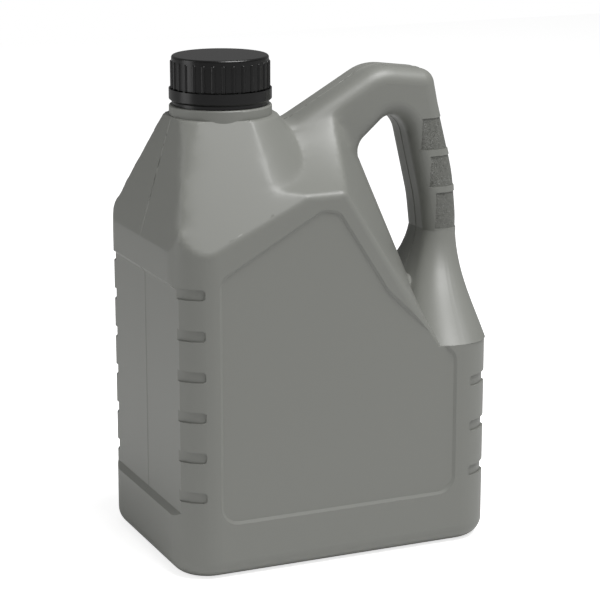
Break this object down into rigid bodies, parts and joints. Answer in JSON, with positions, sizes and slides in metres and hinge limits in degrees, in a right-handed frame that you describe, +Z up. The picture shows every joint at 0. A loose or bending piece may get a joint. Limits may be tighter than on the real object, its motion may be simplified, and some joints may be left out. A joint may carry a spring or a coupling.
{
  "type": "oil jug",
  "caption": "Tall moulded oil jug with a recessed label panel, a hollow side handle, corner grip notches and a ribbed screw cap over a tamper ring.",
  "frame": {"origin": "middle of the footprint, on the standing plane", "axes": "+X from the neck end to the handle end, -Y out of the label face in the picture, +Z up"},
  "size_m": [0.188, 0.1244, 0.2757],
  "materials": {
    "jug_grey": "satin blow-moulded polyethylene",
    "cap_black": "satin injection-moulded polypropylene",
    "liner_white": "matt foam"
  },
  "bodies": {
    "jug": {"jug_body": "jug_grey", "tamper_ring": "cap_black"},
    "liner": {"cap_liner": "liner_white"},
    "cap": {"screw_cap": "cap_black"}
  },
  "joints": [
    {"name": "cap_lift", "type": "slide", "parent": "jug", "child": "liner", "axis": [0, 0, 1], "range_m": [0, 0.016]},
    {"name": "cap_turn", "type": "hinge", "parent": "liner", "child": "cap", "pos_m": [-0.0463, 0, 0.26], "axis": [0, 0, 1], "range_deg": [0, 1440.5]}
  ],
  "couplings": [
    {"joint": "cap_turn", "follows": "cap_lift", "rad_per_m": 1570.8}
  ]
}
